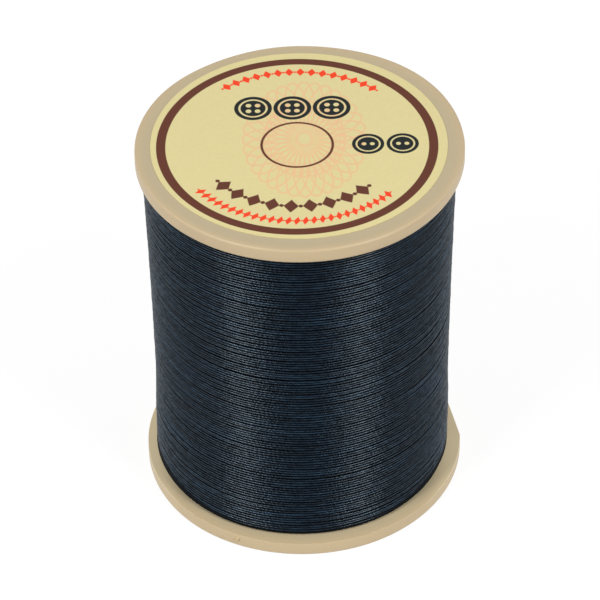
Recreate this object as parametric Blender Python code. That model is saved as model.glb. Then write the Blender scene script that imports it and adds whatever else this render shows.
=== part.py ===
"""A spool of sewing thread: two moulded flanges pressed into a tube, the thread wound on it in
many layers, and a round paper label let into each end.

Metres, +Z up. The axis of the spool is Z, and the rim of the lower flange stands on z = 0.
Azimuths are measured from +X towards +Y."""

import math

import bmesh
import bpy
import numpy as np
from mathutils import Vector

# Spool
SPOOL_HEIGHT = 0.0555
FLANGE_RADIUS = 0.0225
FLANGE_THICKNESS = 0.0022
OUTER_EDGE_RADIUS = 0.0005
INNER_EDGE_RADIUS = 0.00045
RIM_WIDTH = 0.0013
BORE_RADIUS = 0.0045
HUB_WALL = 0.0008
HUB_LENGTH = 0.009
HUB_LEAD_IN = 0.0003
BARREL_WALL = 0.001
FIT_GAP = 0.0003

# Marks of the mould on the rims
NUB_STANDS_OUT = 0.0004
NUB_RADIUS = 0.0005
NUB_TIP_RADIUS = 0.0003
TOP_NUB_AZIMUTH = math.radians(63)
BOTTOM_NUB_AZIMUTH = math.radians(-115)
RIM_FLAT_DEPTH = 0.0006
RIM_FLAT_AZIMUTH = math.radians(12)

# Labels
LABEL_THICKNESS = 0.00015
LABEL_SINK = 0.0001
LABEL_ROOM = 0.00095
TOP_LABEL_SHIFT = (-0.0001, 0.0003)
LABEL_HOLE_ROOM = 0.0004

# Winding. Its outer layer has a few fat turns, each standing for some five turns of thread.
WINDING_BELOW_RIM_LOW = 0.00195
WINDING_BELOW_RIM_HIGH = 0.001
WINDING_TAPER_POWER = 1.8
LOOPS = 24
LOOP_GAP = 0.00043
LOOP_POINTS = 24
CROSSOVER_POINTS = 6
FIRST_LOOP_AZIMUTH = math.radians(135)

# Faces round a full turn, and along a rounded edge or a tapered wall
FLANGE_STEPS = 72
BORE_STEPS = 48
NUB_STEPS = 12
EDGE_STEPS = 3
TAPER_STEPS = 8
SHARP_EDGE = math.radians(30)
CHORD_SAMPLES = 4

# Finishes: colour, roughness
FLANGE_FINISH = ((0.56, 0.44, 0.29), 0.45)
TUBE_FINISH = ((0.50, 0.40, 0.26), 0.5)
PACK_FINISH = ((0.012, 0.020, 0.030), 0.6)
OUTER_LAYER_FINISH = ((0.014, 0.024, 0.035), 0.45)
LABEL_FINISH = ((0.77, 0.68, 0.35), 0.6)

# What follows from these
BARREL_INNER_RADIUS = BORE_RADIUS + HUB_WALL + FIT_GAP
BARREL_RADIUS = BARREL_INNER_RADIUS + BARREL_WALL
SEAT_DEPTH = FIT_GAP + LABEL_THICKNESS + LABEL_SINK
SEAT_RADIUS = FLANGE_RADIUS - RIM_WIDTH
LABEL_RADIUS = SEAT_RADIUS - LABEL_ROOM
WINDING_LOW = FLANGE_THICKNESS + FIT_GAP
WINDING_HIGH = SPOOL_HEIGHT - FLANGE_THICKNESS - FIT_GAP
LOOP_DIAMETER = (WINDING_HIGH - WINDING_LOW - (LOOPS - 1) * LOOP_GAP) / LOOPS
LOOP_PITCH = LOOP_DIAMETER + LOOP_GAP


def clear_scene():
    for thing in list(bpy.data.objects):
        bpy.data.objects.remove(thing, do_unlink=True)


def material(name, colour, roughness):
    made = bpy.data.materials.new(name + "_finish")
    made.use_nodes = True
    shader = made.node_tree.nodes["Principled BSDF"]
    shader.inputs["Base Color"].default_value = (*colour, 1)
    shader.inputs["Roughness"].default_value = roughness
    shader.inputs["Metallic"].default_value = 0
    return made


def placed(name, data, finish, parent, location=(0, 0, 0), rotation=(0, 0, 0)):
    """A named piece with its own material, placed under its parent. A tool has no finish."""
    made = bpy.data.objects.new(name, data)
    bpy.context.scene.collection.objects.link(made)
    if finish:
        data.materials.append(material(name, *finish))
    made.parent = parent
    made.location = location
    made.rotation_euler = rotation
    return made


def mesh_from(name, shape):
    bmesh.ops.recalc_face_normals(shape, faces=shape.faces)
    mesh = bpy.data.meshes.new(name)
    shape.to_mesh(mesh)
    shape.free()
    mesh.shade_smooth()
    mesh.set_sharp_from_angle(angle=SHARP_EDGE)
    return mesh


def arc(centre, radius, start, end):
    """Points (r, z) along a rounded edge, from one angle to another in degrees."""
    angles = (math.radians(start + (end - start) * i / EDGE_STEPS) for i in range(EDGE_STEPS + 1))
    return [(centre[0] + radius * math.cos(a), centre[1] + radius * math.sin(a)) for a in angles]


def turned_mesh(name, profile, steps):
    """A ring with the closed outline (r, z), turned about Z."""
    shape = bmesh.new()
    rings = []
    for r, z in profile:
        angles = (2 * math.pi * i / steps for i in range(steps))
        rings.append([shape.verts.new((r * math.cos(a), r * math.sin(a), z)) for a in angles])
    for ring, following in zip(rings, rings[1:] + rings[:1]):
        for i in range(steps):
            j = (i + 1) % steps
            shape.faces.new((ring[i], ring[j], following[j], following[i]))
    return mesh_from(name, shape)


def cone_mesh(name, low_radius, high_radius, height, steps):
    """A solid round disc or stub, standing on z = 0."""
    shape = bmesh.new()
    bmesh.ops.create_cone(
        shape,
        cap_ends=True,
        segments=steps,
        radius1=low_radius,
        radius2=high_radius,
        depth=height,
    )
    bmesh.ops.translate(shape, verts=shape.verts, vec=(0, 0, height / 2))
    return mesh_from(name, shape)


def flange_profile():
    """Half section of a flange: its outer face on z = 0, its hub standing up inside the tube."""
    hub_radius = BORE_RADIUS + HUB_WALL
    hub_top = FLANGE_THICKNESS + HUB_LENGTH
    outer_edge = (FLANGE_RADIUS - OUTER_EDGE_RADIUS, OUTER_EDGE_RADIUS)
    inner_edge = (FLANGE_RADIUS - INNER_EDGE_RADIUS, FLANGE_THICKNESS - INNER_EDGE_RADIUS)
    return [
        (BORE_RADIUS, SEAT_DEPTH),
        (SEAT_RADIUS, SEAT_DEPTH),
        (SEAT_RADIUS, 0),
        *arc(outer_edge, OUTER_EDGE_RADIUS, -90, 0),
        *arc(inner_edge, INNER_EDGE_RADIUS, 0, 90),
        (hub_radius, FLANGE_THICKNESS),
        (hub_radius, hub_top - HUB_LEAD_IN),
        (hub_radius - HUB_LEAD_IN, hub_top),
        (BORE_RADIUS, hub_top),
    ]


def boolean_tool(name, mesh, flange, location, rotation, operation):
    """Cuts a hidden shape from the flange, or joins it to it."""
    tool = placed(name, mesh, None, flange, location, rotation)
    tool.hide_render = True
    tool.display_type = "WIRE"
    change = flange.modifiers.new(name, "BOOLEAN")
    change.operation = operation
    change.solver = "EXACT"
    change.object = tool


def add_nub(flange, azimuth):
    """The stub of the mould's gate, standing out of the middle of the rim."""
    root = FLANGE_RADIUS - NUB_RADIUS
    mesh = cone_mesh("nub", NUB_RADIUS, NUB_TIP_RADIUS, NUB_RADIUS + NUB_STANDS_OUT, NUB_STEPS)
    location = (root * math.cos(azimuth), root * math.sin(azimuth), FLANGE_THICKNESS / 2)
    turned_out = (0, math.pi / 2, azimuth)
    boolean_tool(flange.name + "_nub", mesh, flange, location, turned_out, "UNION")


def cut_rim_flat(flange, azimuth):
    """A shallow flat where the rim was trimmed."""
    size = 2 * FLANGE_RADIUS
    shape = bmesh.new()
    bmesh.ops.create_cube(shape, size=size)
    distance = FLANGE_RADIUS - RIM_FLAT_DEPTH + size / 2
    location = (distance * math.cos(azimuth), distance * math.sin(azimuth), 0)
    mesh = mesh_from("rim_flat", shape)
    boolean_tool(flange.name + "_rim_flat", mesh, flange, location, (0, 0, azimuth), "DIFFERENCE")


def add_bottom_flange(spool):
    mesh = turned_mesh("bottom_flange", flange_profile(), FLANGE_STEPS)
    flange = placed("bottom_flange", mesh, FLANGE_FINISH, spool)
    add_nub(flange, BOTTOM_NUB_AZIMUTH)
    cut_rim_flat(flange, RIM_FLAT_AZIMUTH)


def add_top_flange(spool):
    """The same moulding, turned over about X, which turns the sign of its azimuths."""
    mesh = turned_mesh("top_flange", flange_profile(), FLANGE_STEPS)
    place = (0, 0, SPOOL_HEIGHT)
    flange = placed("top_flange", mesh, FLANGE_FINISH, spool, place, (math.pi, 0, 0))
    add_nub(flange, -TOP_NUB_AZIMUTH)


def add_barrel(spool):
    """The tube between the flanges, which their hubs fit into."""
    low = FLANGE_THICKNESS + FIT_GAP
    high = SPOOL_HEIGHT - FLANGE_THICKNESS - FIT_GAP
    wall = [
        (BARREL_INNER_RADIUS, low),
        (BARREL_RADIUS, low),
        (BARREL_RADIUS, high),
        (BARREL_INNER_RADIUS, high),
    ]
    placed("barrel", turned_mesh("barrel", wall, BORE_STEPS), TUBE_FINISH, spool)


def winding_radius(z):
    """Outer radius of the winding: a little larger towards the upper flange."""
    share = (z - WINDING_LOW) / (WINDING_HIGH - WINDING_LOW)
    below_rim = WINDING_BELOW_RIM_LOW
    below_rim += (WINDING_BELOW_RIM_HIGH - WINDING_BELOW_RIM_LOW) * share**WINDING_TAPER_POWER
    return FLANGE_RADIUS - below_rim


def add_thread_pack(spool):
    """The inner layers of thread, as one plain core under the outer layer of turns."""
    chord_share = math.cos(math.pi / LOOP_POINTS)
    heights = [
        WINDING_LOW + (WINDING_HIGH - WINDING_LOW) * i / TAPER_STEPS for i in range(TAPER_STEPS + 1)
    ]
    profile = [(BARREL_RADIUS + FIT_GAP, WINDING_LOW)]
    for z in heights:
        loop_radius = winding_radius(z) - LOOP_DIAMETER / 2
        profile.append((loop_radius * chord_share - LOOP_DIAMETER / 2 - FIT_GAP, z))
    profile.append((BARREL_RADIUS + FIT_GAP, WINDING_HIGH))
    placed("thread_pack", turned_mesh("thread_pack", profile, FLANGE_STEPS), PACK_FINISH, spool)


def loop_route():
    """Centre line of the outer layer: each loop lies level, and climbs to the next at the back."""
    points = []
    for i in range(LOOPS * LOOP_POINTS - CROSSOVER_POINTS + 1):
        loop, step = divmod(i, LOOP_POINTS)
        climb = max(0, step - (LOOP_POINTS - CROSSOVER_POINTS)) / CROSSOVER_POINTS
        z = WINDING_LOW + LOOP_DIAMETER / 2 + LOOP_PITCH * (loop + climb)
        radius = winding_radius(z) - LOOP_DIAMETER / 2
        azimuth = FIRST_LOOP_AZIMUTH + 2 * math.pi * i / LOOP_POINTS
        points.append(Vector((radius * math.cos(azimuth), radius * math.sin(azimuth), z)))
    return points


def least_gap(route, diameter):
    """Least gap of a tube to itself, between points on its chords that are half a loop apart or more."""
    ends = np.array(route)
    shares = np.arange(CHORD_SAMPLES)[None, :, None] / CHORD_SAMPLES
    line = (ends[:-1, None] * (1 - shares) + ends[1:, None] * shares).reshape(-1, 3)
    half_loop = LOOP_POINTS * CHORD_SAMPLES // 2
    least = min(
        np.linalg.norm(line[i + half_loop :] - line[i], axis=1).min()
        for i in range(len(line) - half_loop)
    )
    return least - diameter


def add_outer_layer(spool):
    """The outer layer of turns, one unbroken tube from flange to flange."""
    route = loop_route()
    print(f"least gap between turns: {least_gap(route, LOOP_DIAMETER) * 1000:.2f} mm")
    curve = bpy.data.curves.new("thread_outer_layer", "CURVE")
    curve.dimensions = "3D"
    curve.twist_mode = "Z_UP"
    curve.bevel_depth = LOOP_DIAMETER / 2
    curve.bevel_resolution = 1
    curve.use_fill_caps = True
    spline = curve.splines.new("POLY")
    spline.points.add(len(route) - 1)
    for point, place in zip(spline.points, route):
        point.co = (*place, 1)
    placed("thread_outer_layer", curve, OUTER_LAYER_FINISH, spool)


def add_top_label(spool):
    """A whole disc, which covers the bore. It was stuck on a little off centre."""
    disc = cone_mesh("top_label", LABEL_RADIUS, LABEL_RADIUS, LABEL_THICKNESS, FLANGE_STEPS)
    place = (*TOP_LABEL_SHIFT, SPOOL_HEIGHT - LABEL_SINK - LABEL_THICKNESS)
    placed("top_label", disc, LABEL_FINISH, spool, place)


def add_bottom_label(spool):
    """A disc that is punched in the middle, to let a spool pin into the bore."""
    hole_radius = BORE_RADIUS + LABEL_HOLE_ROOM
    ring = [
        (hole_radius, LABEL_SINK),
        (LABEL_RADIUS, LABEL_SINK),
        (LABEL_RADIUS, LABEL_SINK + LABEL_THICKNESS),
        (hole_radius, LABEL_SINK + LABEL_THICKNESS),
    ]
    placed("bottom_label", turned_mesh("bottom_label", ring, FLANGE_STEPS), LABEL_FINISH, spool)


def build():
    clear_scene()
    spool = bpy.data.objects.new("spool", None)
    bpy.context.scene.collection.objects.link(spool)
    add_bottom_flange(spool)
    add_top_flange(spool)
    add_barrel(spool)
    add_thread_pack(spool)
    add_outer_layer(spool)
    add_top_label(spool)
    add_bottom_label(spool)


build()
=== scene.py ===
"""Looks of a spool of navy sewing thread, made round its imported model. Metres, +Z up."""

import math

import bmesh
import bpy
from mathutils import Matrix, Vector


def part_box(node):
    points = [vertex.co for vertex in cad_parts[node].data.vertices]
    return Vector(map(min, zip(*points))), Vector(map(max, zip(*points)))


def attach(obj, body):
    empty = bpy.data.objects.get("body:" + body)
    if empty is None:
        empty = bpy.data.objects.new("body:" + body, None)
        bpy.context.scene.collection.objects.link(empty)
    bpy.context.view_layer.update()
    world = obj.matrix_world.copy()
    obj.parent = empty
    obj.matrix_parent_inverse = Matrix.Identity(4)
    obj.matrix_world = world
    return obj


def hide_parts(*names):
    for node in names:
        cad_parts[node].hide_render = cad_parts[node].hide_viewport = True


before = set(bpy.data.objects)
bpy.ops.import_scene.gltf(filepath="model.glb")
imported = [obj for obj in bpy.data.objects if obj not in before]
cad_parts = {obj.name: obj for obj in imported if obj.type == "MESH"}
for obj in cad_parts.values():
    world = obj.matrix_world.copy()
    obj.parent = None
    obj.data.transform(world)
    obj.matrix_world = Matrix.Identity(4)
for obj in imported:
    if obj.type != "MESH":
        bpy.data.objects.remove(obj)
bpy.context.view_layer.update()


# Where the photograph was taken from: in front of the spool, some 65 cm away and 42 degrees
# above the table, through a long lens that keeps the spool's sides nearly straight. The
# camera looks at the middle of the spool, and leans over by less than a degree.
CAMERA_REACH = 0.65453
CAMERA_CLIMB = math.radians(42.2461)
CAMERA_LOOKS_DOWN = math.radians(40.3873)
CAMERA_LOOKS_LEFT = math.radians(0.03)
CAMERA_LEANS = math.radians(-0.8059)
CAMERA_LENS_MM = 272.82
CAMERA_SENSOR_MM = 36
CAMERA_SEES_FROM = 0.01

camera = bpy.data.objects.new("camera", bpy.data.cameras.new("camera"))
bpy.context.scene.collection.objects.link(camera)
camera.data.lens = CAMERA_LENS_MM
camera.data.sensor_width = CAMERA_SENSOR_MM
camera.data.clip_start = CAMERA_SEES_FROM
camera_place = Vector((0, -math.cos(CAMERA_CLIMB), math.sin(CAMERA_CLIMB))) * CAMERA_REACH
camera_turn = Matrix.Rotation(CAMERA_LOOKS_LEFT, 4, "Z")
camera_turn @= Matrix.Rotation(math.pi / 2 - CAMERA_LOOKS_DOWN, 4, "X")
camera_turn @= Matrix.Rotation(CAMERA_LEANS, 4, "Z")
camera.matrix_world = Matrix.Translation(camera_place) @ camera_turn
bpy.context.scene.camera = camera


# The table and the light: a white sheet under the spool, in a room with white walls at the
# sides and the back and a dark front and ceiling, and two tall soft boxes. They stand at the
# front left and right, and make the two bright bands down the thread.
FLOOR_HALF_SIDE = 3
FLOOR_WHITE = 0.55
FLOOR_GLOW = 1.18
FLOOR_GLOW_SHARE = 0.75
ROOM_FRONT = 0.03
ROOM_SIDES = 0.9
ROOM_BACK = 0.55
# How far a direction points at a wall where the wall starts to show, and where it is white.
SIDE_WALLS_SHOW = (0.3, 0.9)
BACK_WALL_SHOWS = (0.1, 0.8)
BOX_AZIMUTH = math.radians(45)
BOX_CLIMB = math.radians(40)
BOX_REACH = 0.9
BOX_SIZE = (0.24, 0.7)
LEFT_BOX_WATTS = 5.2
RIGHT_BOX_WATTS = 4.8


class Field:
    """A node socket that can be used in an expression: each operator adds a Math node."""

    def __init__(self, tree, socket=None):
        self.tree = tree
        self.socket = socket

    def add(self, kind, settings=None, sockets=None, out=0):
        """Any node: its settings first, then the values or links of its sockets."""
        node = self.tree.nodes.new(kind)
        for name, value in (settings or {}).items():
            setattr(node, name, value)
        for name, value in (sockets or {}).items():
            if isinstance(value, Field):
                self.tree.links.new(value.socket, node.inputs[name])
            else:
                node.inputs[name].default_value = value
        return Field(self.tree, node.outputs[out] if node.outputs else None)

    def math(self, operation, *values, clamp=False):
        """A Math node on these values."""
        settings = {"operation": operation, "use_clamp": clamp}
        return self.add("ShaderNodeMath", settings, dict(enumerate(values)))

    def other(self, out):
        """Another output of the same node."""
        return Field(self.tree, self.socket.node.outputs[out])

    def rise(self, low, high):
        """Rises smoothly from 0 to 1 while this goes from low to high."""
        settings = {"interpolation_type": "SMOOTHSTEP"}
        return self.add("ShaderNodeMapRange", settings, {0: self, 1: low, 2: high})

    def blend(self, under, over):
        """One colour where this is 0, and the other where it is 1."""
        sockets = {"Factor": self, 6: under, 7: over}
        return self.add("ShaderNodeMix", {"data_type": "RGBA"}, sockets, 2)

    def feeds(self, node, name):
        """Links this to a socket of a node that is there already."""
        self.tree.links.new(self.socket, node.inputs[name])

    def __add__(self, value):
        return self.math("ADD", self, value)

    def __sub__(self, value):
        return self.math("SUBTRACT", self, value)

    def __rsub__(self, value):
        return self.math("SUBTRACT", value, self)

    def __mul__(self, value):
        return self.math("MULTIPLY", self, value)

    def __truediv__(self, value):
        return self.math("DIVIDE", self, value)

    def __pow__(self, value):
        return self.math("POWER", self, value)

    def __abs__(self):
        return self.math("ABSOLUTE", self)

    __radd__ = __add__
    __rmul__ = __mul__


floor_mesh = bpy.data.meshes.new("floor")
floor_corners = [(-1, -1), (1, -1), (1, 1), (-1, 1)]
floor_mesh.from_pydata(
    [(x * FLOOR_HALF_SIDE, y * FLOOR_HALF_SIDE, 0) for x, y in floor_corners], [], [(0, 1, 2, 3)]
)
floor = bpy.data.objects.new("floor", floor_mesh)
bpy.context.scene.collection.objects.link(floor)

# To the eye, and in reflections, the sheet is mostly a plain white glow. The diffuse light that
# it throws on the spool stays that of paper.
floor_paper = bpy.data.materials.new("white_sheet")
floor_paper.use_nodes = True
floor_paper.node_tree.nodes.clear()
shade = Field(floor_paper.node_tree)
seen = shade.add("ShaderNodeLightPath")
seen_by_eye = seen.math("MAXIMUM", seen, seen.other("Is Glossy Ray"))
seen_by_eye = seen.math("MAXIMUM", seen_by_eye, seen.other("Is Transmission Ray"))
white = (FLOOR_WHITE, FLOOR_WHITE, FLOOR_WHITE, 1)
sheet = shade.add("ShaderNodeBsdfDiffuse", sockets={"Color": white})
glow = shade.add("ShaderNodeEmission", sockets={"Color": (1, 1, 1, 1), "Strength": FLOOR_GLOW})
mixed = shade.add(
    "ShaderNodeMixShader", sockets={0: seen_by_eye * FLOOR_GLOW_SHARE, 1: sheet, 2: glow}
)
shade.add("ShaderNodeOutputMaterial", sockets={"Surface": mixed})
floor_mesh.materials.append(floor_paper)

room = bpy.data.worlds.new("white_room")
room.use_nodes = True
room.node_tree.nodes.clear()
air = Field(room.node_tree)
direction = air.add("ShaderNodeTexCoord", out="Generated")
sideways = direction.add("ShaderNodeSeparateXYZ", sockets={0: direction})
backwards = sideways.other("Y")
room_light = abs(sideways).rise(*SIDE_WALLS_SHOW) * ROOM_SIDES + ROOM_FRONT
room_light = room_light + backwards.rise(*BACK_WALL_SHOWS) * ROOM_BACK
seen = air.add("ShaderNodeLightPath")
room_strength = seen + (1 - seen) * room_light
walls = air.add(
    "ShaderNodeBackground", sockets={"Color": (1, 1, 1, 1), "Strength": room_strength}
)
air.add("ShaderNodeOutputWorld", sockets={"Surface": walls})
bpy.context.scene.world = room
bpy.context.scene.view_settings.view_transform = "Standard"

spool_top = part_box("top_flange")[1].z
spool_middle = Matrix.Translation((0, 0, spool_top / 2))
boxes = (
    ("left_box", -BOX_AZIMUTH, LEFT_BOX_WATTS),
    ("right_box", BOX_AZIMUTH, RIGHT_BOX_WATTS),
)
for name, azimuth, watts in boxes:
    lamp = bpy.data.lights.new(name, "AREA")
    lamp.shape = "RECTANGLE"
    lamp.size, lamp.size_y = BOX_SIZE
    lamp.energy = watts
    box = bpy.data.objects.new(name, lamp)
    bpy.context.scene.collection.objects.link(box)
    turn = Matrix.Rotation(azimuth, 4, "Z") @ Matrix.Rotation(math.pi / 2 - BOX_CLIMB, 4, "X")
    box.matrix_world = spool_middle @ turn @ Matrix.Translation((0, 0, BOX_REACH))


# The two flanges: one beige moulding, used twice, with a rounded rim, a shallow dish for the
# label and a hollow hub that is pressed into the tube. The mould left a stub on each rim and
# each is a little out of round, and the lower rim was trimmed flat at the right.
FLANGE_THICK = 0.0022
# How far the outer and the inner edge of each rim are rounded.
UPPER_EDGES = (0.00034, 0.00045)
LOWER_EDGES = (0.0005, 0.00004)
EDGE_FACES = 8
DISH_DEEP = 0.00009
DISH_RADIUS = 0.0205
DISH_RIM_RADIUS = 0.0218
DISH_FACES = 6
BORE_RADIUS = 0.0045
HUB_RADIUS = 0.0053
HUB_REACH = 0.0112
HUB_LEAD_IN = 0.0003
RIM_FACES = 360
SHARP_EDGE = math.radians(40)
STUB_ROOT = 0.0004
STUB_TIP = 0.00025
STUB_STANDS_OUT = 0.0003
STUB_FACES = 16
UPPER_STUB_AZIMUTH = math.radians(63)
LOWER_STUB_AZIMUTH = math.radians(-115)
LOWER_STUB_HEIGHT = 0.0015
RIM_FLAT_AZIMUTH = math.radians(12)
RIM_FLAT_DEEP = 0.0006
# The flat keeps this share of the rim's roundness.
RIM_FLAT_CROWN = 0.03
# Each swelling's azimuth, how many degrees it spreads to either side, and how far out it goes.
UPPER_SWELLINGS = ((46, 40, 0.00033), (-28, 34, -0.00013), (120, 30, -0.0002))
LOWER_SWELLINGS = ((188, 50, -0.00022), (-32, 60, -0.00018))
# The rims' colours are warmer than the faces': painted glow of light through the thin plastic.
UPPER_FACE_SHADED_BEIGE = (0.452, 0.376, 0.237, 1)
UPPER_RIM_GLOW_SHADED_BEIGE = (0.518, 0.394, 0.232, 1)
LOWER_FACE_BEIGE = (0.506, 0.421, 0.266, 1)
LOWER_RIM_GLOW_BEIGE = (0.58, 0.442, 0.261, 1)
PAINTED_LIGHT_BEIGE = (0.755, 0.628, 0.397, 1)
# Where the painted glow on the rim and the painted light on the inner faces start, and where that
# light is full, as shares of the flange's radius.
RIM_GLOW_STARTS = 0.925
PAINTED_LIGHT_STARTS = 0.74
PAINTED_LIGHT_IS_FULL = 0.96
# The inner face's painted light fades this far outside it.
PAINTED_LIGHT_FADES = 0.00003
PAINTED_LIGHT_IS_GONE = 0.0002
# Cells of noise to the metre.
CLOUD_SCALE = 260
SWIRL_SCALE = 900
GRAIN_SCALE = 5200
SATIN_RELIEF = 0.000012

flange_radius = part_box("top_flange")[1].x


def arc(centre, radius, start, end):
    """Points (r, z) round an edge, from one angle to another in degrees."""
    angles = [math.radians(start + (end - start) * i / EDGE_FACES) for i in range(EDGE_FACES + 1)]
    return [(centre[0] + radius * math.cos(a), centre[1] + radius * math.sin(a)) for a in angles]


def flange_outline(outer_edge, inner_edge):
    """The outline (r, z) of a cut through a flange whose outer face lies at z = 0."""
    outer = (flange_radius - outer_edge, outer_edge)
    inner = (flange_radius - inner_edge, FLANGE_THICK - inner_edge)
    dish = []
    for i in range(DISH_FACES):
        share = i / DISH_FACES
        rise = share * share * (3 - 2 * share)
        dish.append((DISH_RADIUS + (DISH_RIM_RADIUS - DISH_RADIUS) * share, DISH_DEEP * (1 - rise)))
    return [
        (BORE_RADIUS, DISH_DEEP),
        *dish,
        (DISH_RIM_RADIUS, 0),
        *arc(outer, outer_edge, -90, 0),
        *arc(inner, inner_edge, 0, 90),
        (HUB_RADIUS, FLANGE_THICK),
        (HUB_RADIUS, HUB_REACH - HUB_LEAD_IN),
        (HUB_RADIUS - HUB_LEAD_IN, HUB_REACH),
        (BORE_RADIUS, HUB_REACH),
    ]


def turned(shape, profile, steps, base=0, upright=1):
    """Adds a ring with the closed outline (r, z), whose z counts from base, up or down."""
    rings = []
    for r, z in profile:
        angles = (2 * math.pi * i / steps for i in range(steps))
        height = base + upright * z
        rings.append([shape.verts.new((r * math.cos(a), r * math.sin(a), height)) for a in angles])
    for ring, following in zip(rings, rings[1:] + rings[:1]):
        for i in range(steps):
            j = (i + 1) % steps
            shape.faces.new((ring[i], ring[j], following[j], following[i]))


def swell(shape, azimuth, spread, most):
    """Pushes the rim out, or in, near one azimuth: few mouldings are quite round."""
    for point in shape.verts:
        radius = math.hypot(point.co.x, point.co.y)
        away = math.degrees(math.atan2(point.co.y, point.co.x)) - azimuth
        away = min(spread, abs((away + 180) % 360 - 180)) / spread
        near_rim = max(0, (radius - DISH_RADIUS) / (flange_radius - DISH_RADIUS))
        push = most * near_rim * math.cos(away * math.pi / 2) ** 2
        point.co.x += push * point.co.x / radius
        point.co.y += push * point.co.y / radius


def flange(edges, swellings, base, upright):
    """A flange with its outer face at base, and its hub pointing up from there, or down."""
    shape = bmesh.new()
    turned(shape, flange_outline(*edges), RIM_FACES, base, upright)
    for swelling in swellings:
        swell(shape, *swelling)
    return shape


def add_stub(shape, azimuth, height):
    """Adds the stub that the mould's gate left, rooted in the rim."""
    length = STUB_ROOT + STUB_STANDS_OUT
    middle = flange_radius - STUB_ROOT + length / 2
    place = Matrix.Translation((0, 0, height)) @ Matrix.Rotation(azimuth, 4, "Z")
    place @= Matrix.Translation((middle, 0, 0)) @ Matrix.Rotation(math.pi / 2, 4, "Y")
    bmesh.ops.create_cone(
        shape,
        cap_ends=True,
        segments=STUB_FACES,
        radius1=STUB_ROOT,
        radius2=STUB_TIP,
        depth=length,
        matrix=place,
    )


def finished(name, shape, finish):
    """A piece with smooth faces that point outwards, its place in its mesh."""
    bmesh.ops.recalc_face_normals(shape, faces=shape.faces)
    mesh = bpy.data.meshes.new(name)
    shape.to_mesh(mesh)
    shape.free()
    mesh.materials.append(finish)
    mesh.shade_smooth()
    mesh.set_sharp_from_angle(angle=SHARP_EDGE)
    piece = bpy.data.objects.new(name, mesh)
    bpy.context.scene.collection.objects.link(piece)
    return piece


def moulding(name, face_colour, rim_glow_colour):
    """Satin beige plastic, with a painted warm glow on the rim, and painted light at the inner
    faces' left and right.
    """
    made = bpy.data.materials.new(name)
    made.use_nodes = True
    shader = made.node_tree.nodes["Principled BSDF"]
    place = Field(made.node_tree).add("ShaderNodeTexCoord", out="Object")

    def cloudy(scale, detail):
        """Noise through the plastic."""
        sockets = {"Vector": place, "Scale": scale, "Detail": detail}
        return place.add("ShaderNodeTexNoise", sockets=sockets)

    x = place.add("ShaderNodeSeparateXYZ", sockets={0: place})
    y = x.other("Y")
    radius = (x * x + y * y) ** 0.5 / flange_radius
    # The rim's warmth is painted glow; the cloud is the plastic's own uneven tone.
    rim_glow_and_cloud = radius.rise(RIM_GLOW_STARTS, 1.0) * 0.8 + (cloudy(CLOUD_SCALE, 3) - 0.5) * 0.4
    beige = rim_glow_and_cloud.blend(face_colour, rim_glow_colour)
    # Painted light: the inner faces turn paler towards their left and right.
    inner_face = spool_top / 2 - FLANGE_THICK
    from_middle = abs(y.other("Z") - spool_top / 2)
    inner = 1 - from_middle.rise(inner_face + PAINTED_LIGHT_FADES, inner_face + PAINTED_LIGHT_IS_GONE)
    pale = inner * (abs(x) / flange_radius).rise(PAINTED_LIGHT_STARTS, PAINTED_LIGHT_IS_FULL)
    pale.blend(beige, PAINTED_LIGHT_BEIGE).feeds(shader, "Base Color")
    swirl = cloudy(SWIRL_SCALE, 4)
    (0.44 + (swirl - 0.5) * 0.12).feeds(shader, "Roughness")
    relief = {
        "Height": cloudy(GRAIN_SCALE, 2) * 0.5 + swirl,
        "Distance": SATIN_RELIEF,
        "Strength": 0.6,
    }
    place.add("ShaderNodeBump", sockets=relief).feeds(shader, "Normal")
    return made


shape = flange(LOWER_EDGES, LOWER_SWELLINGS, 0, 1)
flat_out = Vector((math.cos(RIM_FLAT_AZIMUTH), math.sin(RIM_FLAT_AZIMUTH), 0))
for point in shape.verts:
    beyond = point.co.dot(flat_out) - (flange_radius - RIM_FLAT_DEEP)
    if beyond > 0:
        point.co -= flat_out * beyond * (1 - RIM_FLAT_CROWN)
add_stub(shape, LOWER_STUB_AZIMUTH, LOWER_STUB_HEIGHT)
lower_beige = moulding("lower_moulding", LOWER_FACE_BEIGE, LOWER_RIM_GLOW_BEIGE)
lower_flange = finished("lower_flange_moulding", shape, lower_beige)
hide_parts("bottom_flange")
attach(lower_flange, "root")

# The upper one is coloured darker than the lower one: painted shade.
shape = flange(UPPER_EDGES, UPPER_SWELLINGS, spool_top, -1)
add_stub(shape, UPPER_STUB_AZIMUTH, spool_top - FLANGE_THICK / 2)
upper_beige_painted_shade = moulding("upper_moulding_painted_shade", UPPER_FACE_SHADED_BEIGE, UPPER_RIM_GLOW_SHADED_BEIGE)
upper_flange = finished("upper_flange_moulding", shape, upper_beige_painted_shade)
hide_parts("top_flange")
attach(upper_flange, "root")


# The tube that joins the flanges shows only inside the bore, between the hubs. It is the
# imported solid, in a like beige plastic, with the fine rings of its mould's polished core pin.
TUBE_BEIGE = (0.50, 0.41, 0.275, 1)
TUBE_WARM_BEIGE = (0.58, 0.46, 0.30, 1)
TUBE_CLOUD_SCALE = 300
POLISH_SCALE = 900
POLISH_RELIEF = 0.00001


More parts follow.
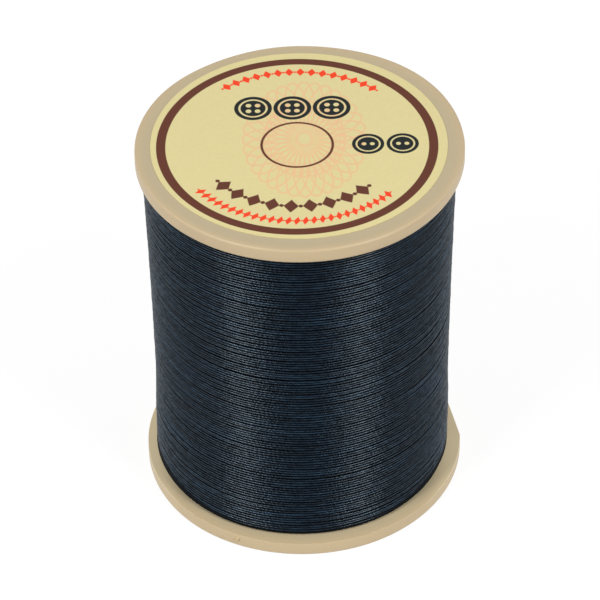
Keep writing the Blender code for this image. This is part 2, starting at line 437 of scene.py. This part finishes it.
def tube_moulding():
    """Satin beige plastic with polishing rings."""
    made = bpy.data.materials.new("tube_moulding")
    made.use_nodes = True
    shader = made.node_tree.nodes["Principled BSDF"]
    place = Field(made.node_tree).add("ShaderNodeTexCoord", out="Object")
    rings = place.add(
        "ShaderNodeTexWave",
        {"wave_type": "BANDS", "bands_direction": "Z"},
        {"Vector": place, "Scale": POLISH_SCALE, "Distortion": 1.5},
        "Fac",
    )
    cloud = place.add("ShaderNodeTexNoise", sockets={"Vector": place, "Scale": TUBE_CLOUD_SCALE})
    cloud.blend(TUBE_BEIGE, TUBE_WARM_BEIGE).feeds(shader, "Base Color")
    (0.4 + rings * 0.15).feeds(shader, "Roughness")
    relief = {"Height": rings, "Distance": POLISH_RELIEF}
    place.add("ShaderNodeBump", sockets=relief).feeds(shader, "Normal")
    return made


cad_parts["barrel"].data.materials.clear()
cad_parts["barrel"].data.materials.append(tube_moulding())


# The thread: navy, three plies twisted and glazed, wound in layers that go back and forth
# between the flanges and pressed so that each turn leans back on the one above it. The outer
# layer's gaps show the layer beneath, in painted shade, and a dark core in the same painted shade
# stands for the others.
THREAD_WIDE = 0.00025
THREAD_THICK = 0.00016
THREAD_LEANS = math.radians(40)
THREAD_LAY = 0.0019
PLIES = 3
TURNS = 115
TURN_POINTS = 96
UNDER_TURN_POINTS = 72
LAYER_STEP = 0.00034
END_GAP = 0.0005
WINDING_LOW = FLANGE_THICK + END_GAP
WINDING_HIGH = spool_top - FLANGE_THICK - END_GAP
# How deep the winding lies below the rims at its foot and at its top, and how it widens.
BELOW_RIM_LOW = 0.00193
BELOW_RIM_HIGH = 0.00098
LOW_RADIUS = flange_radius - BELOW_RIM_LOW
HIGH_RADIUS = flange_radius - BELOW_RIM_HIGH
TAPER_POWER = 1.8
# The winding is fuller low down, which ends between these shares of its height. It sits a
# little to the left, and most of all at its foot.
LOW_BULGE = 0.00021
LOW_BULGE_ENDS = (0.12, 0.3)
WINDING_SHIFT = -0.00009
LOW_SHIFT = -0.00016
LOW_SHIFT_POWER = 7
UNDER_LAYER_LONGER = 0.00035
CORE_DEEP = 1.6 * LAYER_STEP
CORE_IN_RADIUS = 0.0069
CORE_END_GAP = 0.0001
CORE_STEPS = 8
# The core's foot, in the painted-shade finish, which shows below the lowest turn as a dark line.
FOOT_RADIUS = (0.0203, 0.0206)
FOOT_HIGH = 0.0004
FOOT_SHIFT = Vector((-0.00026, -0.0002, 0))
NAVY_DARKEST = (0.0025, 0.0071, 0.0146)
NAVY_PALEST = (0.013, 0.0335, 0.061)
# The near-black navy of the painted shade on the turns' sides and at the winding's foot.
NAVY_PAINTED_SHADE = (0.0008, 0.002, 0.0035, 1)
GLAZE_TINT = (0.76, 0.91, 1, 1)
# How strongly the thread mirrors where it is glazed, where that wore off, and in painted shade,
# and the share of its lightness that the colour keeps in painted shade.
GLAZE = 0.54
WORN_GLAZE = 0.08
SHADED_GLAZE = 0.05
SHADED_LIGHT = 0.25
# Cells of noise to the metre.
FIBRE_SCALE = 2600
WEAR_SCALE = 700
DYE_SCALE = 80
PLY_RELIEF = 0.000008
# Shares of the way round a turn's section: the outward face's middle, how far from there its glaze
# fades, and where the painted shade on its sides sets in.
FACE_MIDDLE = 0.5
GLAZE_FADES = (0.06, 0.18)
PAINTED_SIDE_SHADE = (0.06, 0.2)
# The foot of the winding is painted in shade, darker and less glossy, which ends between these
# heights over the lowest turn. It climbs to the left and right, by so much times x squared.
FOOT_SHADE = (-0.0002, 0.0004)
FOOT_SHADE_CLIMBS = 3.6


def thread_finish(name, gloss, light):
    """Glazed where a turn's face was pressed flat, dull on its sides and where the glaze wore.

    Light is the share of the outer turns' lightness that the colour keeps: less for the turns
    beneath, as painted shade.
    """
    made = bpy.data.materials.new(name)
    made.use_nodes = True
    made.node_tree.nodes.clear()
    shade = Field(made.node_tree)
    strand = shade.add("ShaderNodeAttribute", {"attribute_name": "strand"}, out="Vector")
    along = strand.add("ShaderNodeSeparateXYZ", sockets={0: strand})
    around = along.other("Y")
    place = shade.add("ShaderNodeTexCoord", out="Object")

    def varying(scale, detail):
        """Noise along the strand."""
        sockets = {"W": along * scale, "Scale": 1, "Detail": detail}
        return along.add("ShaderNodeTexNoise", {"noise_dimensions": "1D"}, sockets)

    worn = varying(WEAR_SCALE, 3)
    twist = along / THREAD_LAY + around + varying(WEAR_SCALE, 1) * 0.5
    twist = twist * (PLIES * math.pi)
    ply = twist.math("SINE", twist) ** 2
    fibres = place.add(
        "ShaderNodeTexNoise", sockets={"Vector": place, "Scale": FIBRE_SCALE, "Detail": 3}
    )
    # The plies' grooves are darker, painted shade; the fibres, the dye and the wear vary at random.
    pale = ply * 0.4 + (fibres - 0.5) * 0.6
    pale = pale + (varying(DYE_SCALE, 2) - 0.5) * 2.4 + (worn - 0.5) * 1.2
    darkest = [value * light for value in NAVY_DARKEST]
    palest = [value * light for value in NAVY_PALEST]
    colour = pale.blend((*darkest, 1), (*palest, 1))

    x = place.add("ShaderNodeSeparateXYZ", sockets={0: place})
    height = x.other("Z") - x * x * FOOT_SHADE_CLIMBS
    out_of_foot_shade = height.rise(WINDING_LOW + FOOT_SHADE[0], WINDING_LOW + FOOT_SHADE[1])
    # Painted shade: the colour darkens to near-black navy on each turn's sides, away from its face,
    # and at the winding's foot.
    from_face = abs(around - FACE_MIDDLE)
    lit = out_of_foot_shade * (1 - from_face.rise(*PAINTED_SIDE_SHADE))
    colour = lit.blend(NAVY_PAINTED_SHADE, colour)

    relief = {"Height": ply + fibres * 0.4, "Distance": PLY_RELIEF, "Strength": 1}
    glazed = shade.add(
        "ShaderNodeBsdfPrincipled",
        sockets={
            "Base Color": colour,
            "Roughness": (1 - ply) * 0.12 + (fibres - 0.5) * 0.2 + 0.2,
            "Normal": place.add("ShaderNodeBump", sockets=relief),
            "Specular IOR Level": gloss,
            "Specular Tint": GLAZE_TINT,
        },
    )
    dull = shade.add(
        "ShaderNodeBsdfPrincipled",
        sockets={"Base Color": colour, "Roughness": 0.7, "Specular IOR Level": WORN_GLAZE},
    )
    face = 1 - from_face.rise(*GLAZE_FADES)
    # The painted shade at the foot takes most of the glaze away too.
    shine = face * (worn.rise(0.36, 0.6) * 0.4 + 0.6) * (out_of_foot_shade * 0.8 + 0.2)
    mixed = shade.add("ShaderNodeMixShader", sockets={0: shine, 1: dull, 2: glazed})
    shade.add("ShaderNodeOutputMaterial", sockets={"Surface": mixed})
    return made


def winding_tree():
    """Winds one layer of thread: a helix that wanders, with a flat section that leans."""
    tree = bpy.data.node_groups.new("wind_a_layer", "GeometryNodeTree")
    tree.interface.new_socket("Geometry", in_out="OUTPUT", socket_type="NodeSocketGeometry")
    inputs = {
        "NodeSocketInt": ("Points", "Sides"),
        "NodeSocketFloat": (
            "Points Per Turn",
            "Turns",
            "Direction",
            "Low",
            "High",
            "Low Radius",
            "High Radius",
            "Wide",
            "Thick",
            "Lean",
            "Roll",
            "Rise And Fall",
            "Slip",
            "Seed",
        ),
        "NodeSocketMaterial": ("Finish",),
    }
    start = Field(tree).add("NodeGroupInput")
    size = {}
    for kind, names in inputs.items():
        for name in names:
            tree.interface.new_socket(name, in_out="INPUT", socket_type=kind)
            size[name] = start.other(name)

    line = start.add("GeometryNodeCurvePrimitiveLine")
    line = line.add(
        "GeometryNodeResampleCurve", {"mode": "COUNT"}, {"Curve": line, "Count": size["Points"]}
    )
    turn = line.add("GeometryNodeInputIndex") / size["Points Per Turn"]
    share = turn / size["Turns"]
    angle = turn * (2 * math.pi) * size["Direction"]
    cosine = turn.math("COSINE", angle)
    sine = turn.math("SINE", angle)

    def wander(rate, seed):
        """Smooth noise along the thread, from -1 to 1, with so many waves to a turn."""
        noise = turn.add(
            "ShaderNodeTexNoise",
            {"noise_dimensions": "1D"},
            {"W": turn * rate + size["Seed"] + seed, "Scale": 1, "Detail": 1},
        )
        return (noise - 0.5) * 2

    radius = size["Low Radius"] + (size["High Radius"] - size["Low Radius"]) * share**TAPER_POWER
    radius = radius + (1 - share.rise(*LOW_BULGE_ENDS)) * LOW_BULGE
    radius = radius + (wander(1.7, 0) + wander(0.31, 50) * 0.6) * size["Rise And Fall"]
    # The turns lie least evenly at the left and right.
    uneven = cosine**2 * 0.8 + 0.7
    slip = wander(0.43, 100) * 0.5 + wander(1.6, 150) * 0.5 + wander(8, 180) * 0.6
    height = size["Low"] + (size["High"] - size["Low"]) * share + slip * uneven * size["Slip"]
    shift = (1 - share) ** LOW_SHIFT_POWER * LOW_SHIFT + WINDING_SHIFT
    place = turn.add(
        "ShaderNodeCombineXYZ",
        sockets={"X": radius * cosine + shift, "Y": radius * sine, "Z": height},
    )

    def keeping(geometry, name, value):
        """The same geometry, with a value that it still has once it is a mesh."""
        kept = geometry.add("GeometryNodeCaptureAttribute", sockets={"Geometry": geometry})
        kept.socket.node.capture_items.new("FLOAT", name)
        value.feeds(kept.socket.node, name)
        return kept

    path = line.add("GeometryNodeSetPosition", sockets={"Geometry": line, "Position": place})
    path = path.add("GeometryNodeSetCurveNormal", {"mode": "Z_UP"}, {"Curve": path})
    tilt = wander(1.1, 200) * size["Roll"]
    path = path.add("GeometryNodeSetCurveTilt", sockets={"Curve": path, "Tilt": tilt})
    path = keeping(path, "along", path.add("GeometryNodeSplineParameter").other("Length"))

    circle = {"Resolution": size["Sides"], "Radius": 0.5}
    section = path.add("GeometryNodeCurvePrimitiveCircle", {"mode": "RADIUS"}, circle)
    scale = {"X": size["Thick"], "Y": size["Wide"], "Z": 1}
    flatten = {
        "Geometry": section,
        "Scale": section.add("ShaderNodeCombineXYZ", sockets=scale),
        "Rotation": section.add("ShaderNodeCombineXYZ", sockets={"Z": math.pi - size["Lean"]}),
    }
    section = section.add("GeometryNodeTransform", sockets=flatten)
    section = keeping(section, "around", section.add("GeometryNodeSplineParameter"))

    tube = path.add(
        "GeometryNodeCurveToMesh",
        sockets={"Curve": path, "Profile Curve": section, "Fill Caps": True},
    )
    strand = {"X": path.other("along"), "Y": section.other("around")}
    stored = {
        "Geometry": tube,
        "Name": "strand",
        "Value": tube.add("ShaderNodeCombineXYZ", sockets=strand),
    }
    vector = {"data_type": "FLOAT_VECTOR", "domain": "POINT"}
    tube = tube.add("GeometryNodeStoreNamedAttribute", vector, stored)
    tube = tube.add("GeometryNodeRealizeInstances", sockets={0: tube})
    tube = tube.add("GeometryNodeSetShadeSmooth", sockets={0: tube})
    coated = {"Geometry": tube, "Material": size["Finish"]}
    tube = tube.add("GeometryNodeSetMaterial", sockets=coated)
    tube.add("NodeGroupOutput", sockets={0: tube})
    return tree


def grown(name, tree, sizes):
    """Runs a geometry tree with these inputs, and keeps what it makes as a plain mesh."""
    seed = bpy.data.objects.new(name, bpy.data.meshes.new(name + "_seed"))
    bpy.context.scene.collection.objects.link(seed)
    change = seed.modifiers.new(name, "NODES")
    change.node_group = tree
    for item in tree.interface.items_tree:
        if item.in_out == "INPUT":
            change[item.identifier] = sizes[item.name]
    bpy.context.view_layer.update()
    now = seed.evaluated_get(bpy.context.evaluated_depsgraph_get())
    mesh = bpy.data.meshes.new_from_object(now)
    seed.modifiers.remove(change)
    seed.data = mesh
    return seed


lean_out = THREAD_WIDE * math.sin(THREAD_LEANS)
thick_out = THREAD_THICK * math.cos(THREAD_LEANS)
thread_reach = math.hypot(lean_out, thick_out) / 2
wind = winding_tree()
outer_layer = {
    "Points": TURNS * TURN_POINTS,
    "Points Per Turn": float(TURN_POINTS),
    "Turns": float(TURNS),
    "Direction": 1.0,
    "Low": WINDING_LOW,
    "High": WINDING_HIGH,
    "Low Radius": LOW_RADIUS - thread_reach,
    "High Radius": HIGH_RADIUS - thread_reach,
    "Wide": THREAD_WIDE,
    "Thick": THREAD_THICK,
    "Lean": THREAD_LEANS,
    "Roll": 0.1,
    "Sides": 8,
    "Rise And Fall": 0.00005,
    "Slip": 0.00017,
    "Seed": 3.0,
    "Finish": thread_finish("navy_thread", GLAZE, 1),
}
outer_turns = grown("outer_turns", wind, outer_layer)
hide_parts("thread_outer_layer")
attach(outer_turns, "root")

# The turns beneath and the core wear a darker, less glossy copy of the thread's finish: painted
# shade.
shaded = thread_finish("navy_thread_in_shade", SHADED_GLAZE, SHADED_LIGHT)
under_layer = {
    **outer_layer,
    "Points": (TURNS - 1) * UNDER_TURN_POINTS,
    "Points Per Turn": float(UNDER_TURN_POINTS),
    "Turns": float(TURNS - 1),
    "Direction": -1.0,
    "Low": WINDING_LOW - UNDER_LAYER_LONGER,
    "High": WINDING_HIGH + UNDER_LAYER_LONGER,
    "Low Radius": LOW_RADIUS - thread_reach - LAYER_STEP,
    "High Radius": HIGH_RADIUS - thread_reach - LAYER_STEP,
    "Roll": 0.0,
    "Sides": 6,
    "Rise And Fall": 0.00003,
    "Slip": 0.00008,
    "Seed": 41.0,
    "Finish": shaded,
}
under_turns = grown("under_turns", wind, under_layer)
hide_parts("thread_pack")
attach(under_turns, "root")

core_low = FLANGE_THICK + CORE_END_GAP
core_high = spool_top - core_low
core_wall = [(FOOT_RADIUS[0], core_low), (FOOT_RADIUS[1], core_low + FOOT_HIGH)]
for i in range(1, CORE_STEPS + 1):
    share = i / CORE_STEPS
    r = LOW_RADIUS + (HIGH_RADIUS - LOW_RADIUS) * share**TAPER_POWER - thread_reach - CORE_DEEP
    core_wall.append((r, core_low + (core_high - core_low) * share))
shape = bmesh.new()
core = [(CORE_IN_RADIUS, core_low), *core_wall, (CORE_IN_RADIUS, core_high)]
turned(shape, core, RIM_FACES)
for point in shape.verts:
    in_foot = point.co.z < core_low + 2 * FOOT_HIGH
    if in_foot and point.co.xy.length > (CORE_IN_RADIUS + FOOT_RADIUS[0]) / 2:
        point.co += FOOT_SHIFT
pack_core = finished("thread_pack_core", shape, shaded)
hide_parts("thread_pack")
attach(pack_core, "root")


# The labels: round, die-cut, pale yellow paper with a matt coating, printed in brown, red,
# orange and black, and stuck in the flanges' dishes. The upper one covers the bore and went
# on a little off centre. The lower one is plainer, and punched for the spool pin.
LABEL_RADIUS = 0.02026
LABEL_THICK = 0.00006
LABEL_SHIFT = (-0.0001, 0.0004)
LABEL_BELOW_RIM = DISH_DEEP - LABEL_THICK
LABEL_HOLE_RADIUS = BORE_RADIUS + 0.0004
PRINT_CENTRE = (-0.00034, 0.00015)
PAPER_DULL = (0.63, 0.551, 0.27, 1)
PAPER_BRIGHT = (0.686, 0.606, 0.31, 1)
PAPER_FIBRE_SCALE = 1900
PAPER_RELIEF = 0.00001
PAPER_ROUGHNESS = 0.5
PAPER_GLOSS = 0.08
BROWN_INK = (0.122, 0.041, 0.026, 1)
RED_INK = (0.82, 0.062, 0.022, 1)
BLACK_INK = (0.018, 0.022, 0.022, 1)
ORANGE_INK = (0.76, 0.45, 0.25, 1)
# The print's own sizes are in millimetres. A ring has a radius and a width.
MM = 0.001
BORDER_RING = (18.57, 1.27)
MIDDLE_RING = (4.84, 0.36)
HOLE_RING = (7.2, 0.36)
ROSETTE_INK_SHARE = 0.8


class Print:
    """Inks on round paper. Its coordinates x, y and r are in millimetres from its centre."""

    def __init__(self, name, centre):
        self.finish = bpy.data.materials.new(name)
        self.finish.use_nodes = True
        self.shader = self.finish.node_tree.nodes["Principled BSDF"]
        self.place = Field(self.finish.node_tree).add("ShaderNodeTexCoord", out="Object")
        x = self.place.add("ShaderNodeSeparateXYZ", sockets={0: self.place})
        self.y = (x.other("Y") - centre[1]) / MM
        self.x = (x - centre[0]) / MM
        self.r = (self.x * self.x + self.y * self.y) ** 0.5
        self.angle = self.x.math("ARCTAN2", self.y, self.x)
        noise = {"Vector": self.place, "Scale": PAPER_FIBRE_SCALE, "Detail": 4}
        self.fibre = self.place.add("ShaderNodeTexNoise", sockets=noise)
        self.colour = self.fibre.blend(PAPER_DULL, PAPER_BRIGHT)

    def inside(self, distance, soft=0.08):
        """1 where a distance is below 0, with a soft edge."""
        return self.r.math("MULTIPLY_ADD", distance, -1 / soft, 0.5, clamp=True)

    def ink(self, colour, mask):
        """Prints a colour where the mask is 1."""
        self.colour = mask.blend(self.colour, colour)

    def ring(self, radius, width):
        """A ring whose middle line has this radius."""
        return self.inside(abs(self.r - radius) - width / 2)

    def from_nearest(self, run, pitch, count):
        """How far a place along a row of so many motifs is from the middle of the nearest."""
        cell = run / pitch + (0.5 if count % 2 else 0)
        return (cell.math("FRACT", cell) - 0.5) * pitch

    def chain(self, radius, half_height, pitch, count, azimuth, lean=0):
        """So many lozenges in a row along an arc about an azimuth, with dots between them."""
        half_width = 0.4 * pitch
        dot_radius = 0.12 * pitch
        out = self.r - radius
        run = (self.angle - math.radians(azimuth)) * radius + out * lean
        across = self.from_nearest(run, pitch, count)
        lozenge = abs(across) * (half_height / half_width) + abs(out) - half_height
        dot_across = abs(across) - pitch / 2
        dot = (dot_across * dot_across + out * out) ** 0.5 - dot_radius
        # The lozenge's sides slant, so they are only about half as far away as that says.
        motif = out.math("MINIMUM", lozenge * 0.45, dot)
        beyond_ends = abs(run) - (pitch * count / 2 + dot_radius)
        return self.inside(out.math("MAXIMUM", motif, beyond_ends))

    def buttons(self, centre, radius, pitch, count, holes):
        """A row of flat buttons, each with a thin groove and with holes at (+-x, +-y) radii."""
        hole_radius = 0.15 * radius
        groove_radius = 0.72 * radius
        groove_half_width = 0.055 * radius
        u = self.x - centre[0]
        v = abs(self.y - centre[1])
        across = self.from_nearest(u, pitch, count)
        away = (across * across + v * v) ** 0.5
        hole_x = abs(across) - holes[0] * radius
        hole_y = v - holes[1] * radius
        hole = (hole_x * hole_x + hole_y * hole_y) ** 0.5 - hole_radius
        groove = abs(away - groove_radius) - groove_half_width
        bare = u.math("MINIMUM", hole, groove)
        motif = u.math("MAXIMUM", away - radius, bare * -1)
        beyond_ends = abs(u) - pitch * count / 2
        return self.inside(u.math("MAXIMUM", motif, beyond_ends))

    def rosette(self, centre, half_width, half_height, loops, petals):
        """Fine waving lines that cross each other in two rings, as on old tickets."""
        half_line = 0.13
        line_soft = 0.16
        u = (self.x - centre[0]) / half_width
        v = (self.y - centre[1]) / half_height
        away = (u * u + v * v) ** 0.5
        turn = u.math("ARCTAN2", v, u) * petals
        nearest = None
        for middle, wave in ((0.74, 0.2), (0.36, 0.26)):
            for i in range(loops):
                phase = turn + 2 * math.pi * i / loops
                line = abs(away - middle - turn.math("SINE", phase) * wave)
                slope = turn.math("COSINE", phase) * (wave * petals / middle)
                line = line / (slope * slope + 1) ** 0.5
                nearest = line if nearest is None else line.math("MINIMUM", nearest, line)
        return self.inside(nearest * (half_width + half_height) / 2 - half_line, line_soft)

    def done(self):
        """The finished material."""
        self.colour.feeds(self.shader, "Base Color")
        self.shader.inputs["Roughness"].default_value = PAPER_ROUGHNESS
        self.shader.inputs["Specular IOR Level"].default_value = PAPER_GLOSS
        relief = {"Height": self.fibre, "Distance": PAPER_RELIEF, "Strength": 0.5}
        self.place.add("ShaderNodeBump", sockets=relief).feeds(self.shader, "Normal")
        return self.finish


upper_print = Print("printed_label", PRINT_CENTRE)
rosette = upper_print.rosette((1.0, 1.3), half_width=9.0, half_height=13.4, loops=4, petals=8)
back_row = upper_print.chain(16.2, half_height=0.85, pitch=1.55, count=15, azimuth=88)
large_row = upper_print.chain(13.2, half_height=1.35, pitch=2.6, count=9, azimuth=-94)
front_row = upper_print.chain(
    16.3, half_height=0.85, pitch=1.15, count=26, azimuth=-92.5, lean=0.2
)
four_hole = upper_print.buttons((-0.6, 8.15), radius=2.6, pitch=5.4, count=3, holes=(0.24, 0.24))
two_hole = upper_print.buttons((12.0, 0.0), radius=2.2, pitch=4.7, count=2, holes=(0.26, 0.0))
upper_print.ink(ORANGE_INK, rosette * ROSETTE_INK_SHARE)
upper_print.ink(BROWN_INK, upper_print.ring(*BORDER_RING))
upper_print.ink(BROWN_INK, upper_print.ring(*MIDDLE_RING))
upper_print.ink(RED_INK, back_row)
upper_print.ink(BROWN_INK, large_row)
upper_print.ink(RED_INK, front_row)
upper_print.ink(BLACK_INK, four_hole)
upper_print.ink(BLACK_INK, two_hole)

shape = bmesh.new()
label_top = spool_top - LABEL_BELOW_RIM
bmesh.ops.create_cone(
    shape,
    cap_ends=True,
    segments=RIM_FACES,
    radius1=LABEL_RADIUS,
    radius2=LABEL_RADIUS,
    depth=LABEL_THICK,
    matrix=Matrix.Translation((*LABEL_SHIFT, label_top - LABEL_THICK / 2)),
)
upper_label = finished("upper_label", shape, upper_print.done())
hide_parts("top_label")
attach(upper_label, "root")

lower_print = Print("plain_label", (0, 0))
lower_print.ink(BROWN_INK, lower_print.ring(*BORDER_RING))
lower_print.ink(BROWN_INK, lower_print.ring(*HOLE_RING))

shape = bmesh.new()
label_outline = [
    (LABEL_HOLE_RADIUS, LABEL_BELOW_RIM),
    (LABEL_RADIUS, LABEL_BELOW_RIM),
    (LABEL_RADIUS, LABEL_BELOW_RIM + LABEL_THICK),
    (LABEL_HOLE_RADIUS, LABEL_BELOW_RIM + LABEL_THICK),
]
turned(shape, label_outline, RIM_FACES)
lower_label = finished("lower_label", shape, lower_print.done())
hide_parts("bottom_label")
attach(lower_label, "root")
